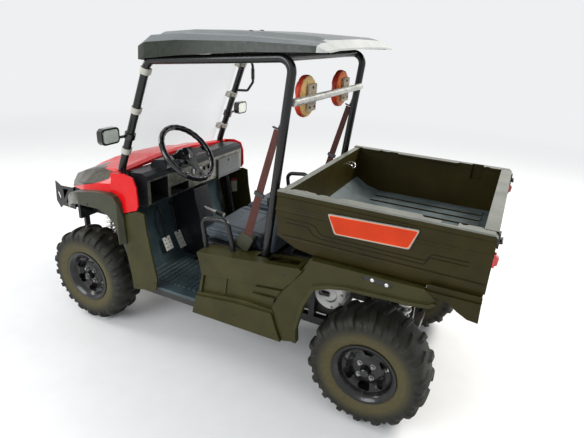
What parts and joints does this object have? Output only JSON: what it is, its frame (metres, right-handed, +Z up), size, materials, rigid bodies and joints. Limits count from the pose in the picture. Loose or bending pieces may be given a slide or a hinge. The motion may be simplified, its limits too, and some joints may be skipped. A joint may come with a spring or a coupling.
{
  "type": "side by side utility vehicle",
  "caption": "Two-seat utility vehicle with tipping cargo bed, tube cage, moulded roof, clear windscreen, knobby tyres, steering wheel and rack-steered front wheels.",
  "frame": {"origin": "on the ground, under the middle of the bounding box", "axes": "+X to the vehicle's left, +Y rearwards, +Z up"},
  "size_m": [1.444, 2.976, 1.88],
  "materials": {
    "tyre_rubber": "dull",
    "rim_black": "satin",
    "frame_black": "satin",
    "hood_red": "gloss",
    "bed_black": "satin",
    "fender_black": "satin",
    "trim_black": "satin",
    "roof_grey": "satin",
    "seat_vinyl": "satin",
    "silver": "satin",
    "steel": "satin",
    "glass_clear": "clear",
    "lens_smoke": "gloss",
    "lamp_red": "gloss",
    "pad_orange": "matte",
    "clip_white": "gloss",
    "engine_metal": "matte"
  },
  "bodies": {
    "root": {"backrest_left": "seat_vinyl", "backrest_right": "seat_vinyl", "belt_reels": "fender_black", "belt_straps": "pad_orange", "brake_lever": "silver", "bumper": "frame_black", "cage": "frame_black", "chassis_frame": "frame_black", "clutch_cover": "silver", "cross_bar": "silver", "cushion_left": "seat_vinyl", "cushion_right": "seat_vinyl", "dampers": "steel", "dash": "trim_black", "engine_block": "engine_metal", "floor_pan": "trim_black", "front_arms": "frame_black", "front_drive": "engine_metal", "front_flares": "fender_black", "front_panel": "trim_black", "grab_handle": "frame_black", "headlamps": "lens_smoke", "headrest_left": "pad_orange", "headrest_right": "pad_orange", "hip_hoops": "frame_black", "hood": "hood_red", "leg_panels": "fender_black", "mirrors": "trim_black", "pedals": "silver", "rack_housing": "engine_metal", "rear_arms": "frame_black", "rear_carriers": "silver", "rear_drive": "engine_metal", "rear_fenders": "fender_black", "rockers": "fender_black", "roof": "roof_grey", "screen_clips": "clip_white", "seat_base": "trim_black", "steering_column": "trim_black", "tunnel": "trim_black", "windscreen": "glass_clear"},
    "wheel_fl": {"tyre_front_left": "tyre_rubber", "rim_front_left": "rim_black"},
    "wheel_fr": {"tyre_front_right": "tyre_rubber", "rim_front_right": "rim_black"},
    "wheel_rl": {"tyre_rear_left": "tyre_rubber", "rim_rear_left": "rim_black"},
    "wheel_rr": {"tyre_rear_right": "tyre_rubber", "rim_rear_right": "rim_black"},
    "steer_fl": {"knuckle_left": "silver"},
    "steer_fr": {"knuckle_right": "silver"},
    "steering": {"steering_wheel": "trim_black"},
    "rack": {"tie_rods": "steel"},
    "bed": {"bed_tub": "bed_black", "tail_lamps": "lamp_red"},
    "gate": {"tailgate": "bed_black", "gate_latches": "trim_black"},
    "glove_lid": {"glovebox_lid": "trim_black"}
  },
  "joints": [
    {"name": "steering_wheel_turn", "type": "hinge", "parent": "root", "child": "steering", "pos_m": [0.262, -0.287, 1.174], "axis": [0, 0.7431, 0.6691], "range_deg": [-270, 270]},
    {"name": "steer_left", "type": "hinge", "parent": "root", "child": "steer_fl", "pos_m": [0.455, -0.88, 0.318], "axis": [0, 0, 1], "range_deg": [-25, 25]},
    {"name": "steer_right", "type": "hinge", "parent": "root", "child": "steer_fr", "pos_m": [-0.455, -0.88, 0.318], "axis": [0, 0, 1], "range_deg": [-25, 25]},
    {"name": "rack_slide", "type": "slide", "parent": "root", "child": "rack", "axis": [-1, 0, 0], "range_m": [-0.03973, 0.03973]},
    {"name": "spin_fl", "type": "hinge", "parent": "steer_fl", "child": "wheel_fl", "pos_m": [0.511, -0.88, 0.318], "axis": [1, 0, 0], "continuous": true},
    {"name": "spin_fr", "type": "hinge", "parent": "steer_fr", "child": "wheel_fr", "pos_m": [-0.511, -0.88, 0.318], "axis": [1, 0, 0], "continuous": true},
    {"name": "spin_rl", "type": "hinge", "parent": "root", "child": "wheel_rl", "pos_m": [0.491, 1.023, 0.318], "axis": [1, 0, 0], "continuous": true},
    {"name": "spin_rr", "type": "hinge", "parent": "root", "child": "wheel_rr", "pos_m": [-0.491, 1.023, 0.318], "axis": [1, 0, 0], "continuous": true},
    {"name": "bed_tip", "type": "hinge", "parent": "root", "child": "bed", "pos_m": [0, 1.436, 0.859], "axis": [-1, 0, 0], "range_deg": [0, 45]},
    {"name": "tailgate_drop", "type": "hinge", "parent": "bed", "child": "gate", "pos_m": [0, 1.461, 0.899], "axis": [-1, 0, 0], "range_deg": [0, 90]},
    {"name": "glovebox_lid_open", "type": "hinge", "parent": "root", "child": "glove_lid", "pos_m": [-0.3, -0.3777, 0.89], "axis": [-1, 0, 0], "range_deg": [0, 75]}
  ],
  "couplings": [
    {"joint": "steer_left", "follows": "steering_wheel_turn", "ratio": 0.092593},
    {"joint": "steer_right", "follows": "steering_wheel_turn", "ratio": 0.092593},
    {"joint": "rack_slide", "follows": "steering_wheel_turn", "m_per_rad": 0.00843}
  ]
}
